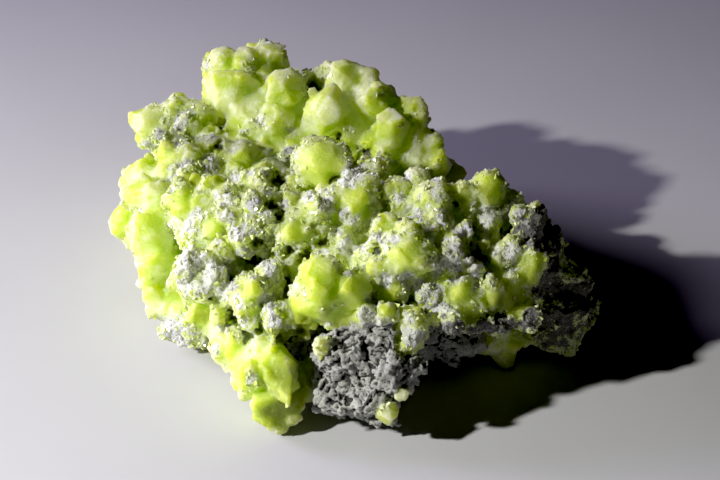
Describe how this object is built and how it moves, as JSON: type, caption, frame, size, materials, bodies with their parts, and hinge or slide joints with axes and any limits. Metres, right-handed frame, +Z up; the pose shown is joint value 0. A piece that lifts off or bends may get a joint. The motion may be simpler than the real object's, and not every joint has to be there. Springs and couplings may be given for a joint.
{
  "type": "sulfur mineral specimen",
  "caption": "Hand-sized cluster of yellow-green sulfur crystals and rounded lumps on grey granular matrix, with an overhanging front ridge and a flat-bottomed base.",
  "frame": {"origin": "on the table top, under the middle of the specimen's bounding box", "axes": "+Z up, +X along the specimen's greatest length towards its thin end, -Y towards the front, where the grey matrix clump hangs between the sulfur foot and the ridge"},
  "size_m": [0.0904, 0.0835, 0.0355],
  "materials": {
    "sulfur": "waxy to resinous, translucent yellow-green",
    "grey matrix": "dull, granular"
  },
  "bodies": {
    "root": {"sulfur_crystals": "sulfur", "grey_matrix": "grey matrix"}
  },
  "joints": []
}
